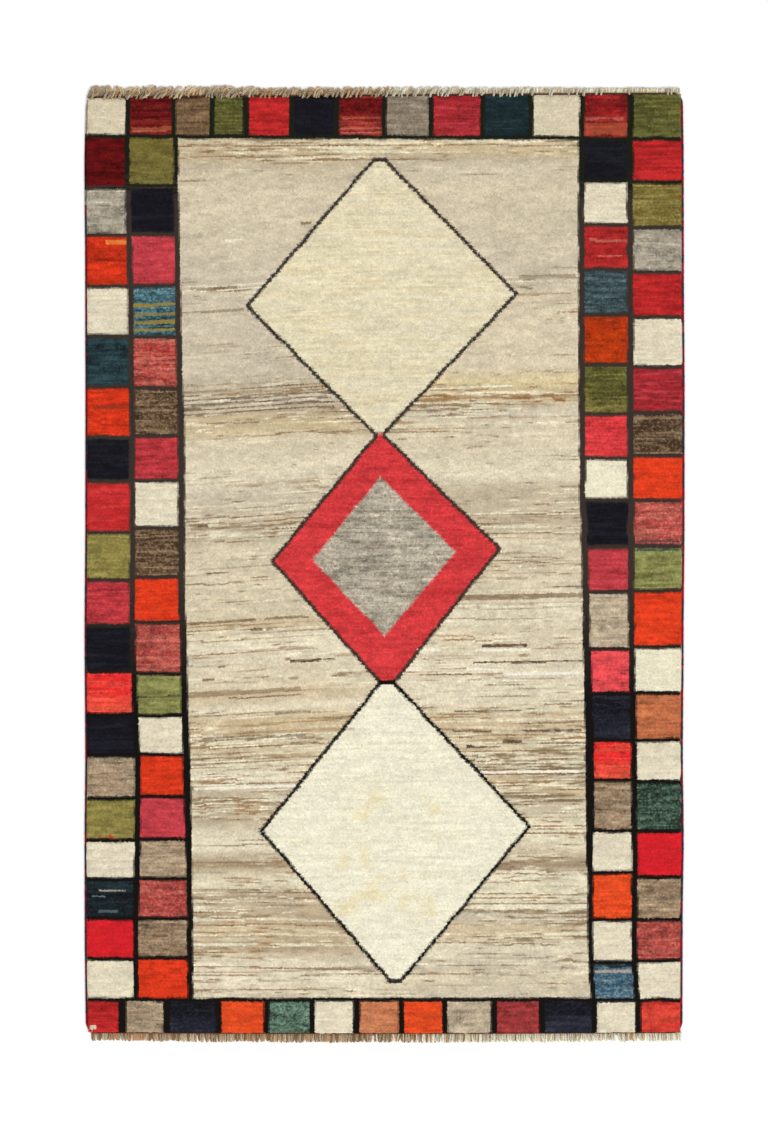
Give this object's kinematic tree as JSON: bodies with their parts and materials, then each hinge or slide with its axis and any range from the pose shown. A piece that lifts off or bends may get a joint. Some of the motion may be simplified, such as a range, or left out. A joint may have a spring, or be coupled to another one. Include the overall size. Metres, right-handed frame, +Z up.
{
  "type": "gabbeh rug",
  "caption": "Hand-knotted wool gabbeh rug lying flat: knotted body with lozenges inside a chequered border, overcast side cords and short fringed ends.",
  "frame": {"origin": "on the floor under the middle of the rug", "axes": "+Z up out of the pile, +Y along the rug to the end with the longer, curlier fringe, +X to the right seen from above"},
  "size_m": [1.233, 1.9614, 0.0136],
  "materials": {
    "wool_pile": "cut wool pile, matte with a soft sheen",
    "selvedge_wool": "wrapped wool yarn, matte",
    "fringe_yarn": "undyed twisted warp yarn, matte"
  },
  "bodies": {
    "root": {"rug_body": "wool_pile", "selvedge_left": "selvedge_wool", "selvedge_right": "selvedge_wool", "fringe_top": "fringe_yarn", "fringe_bottom": "fringe_yarn"}
  },
  "joints": []
}
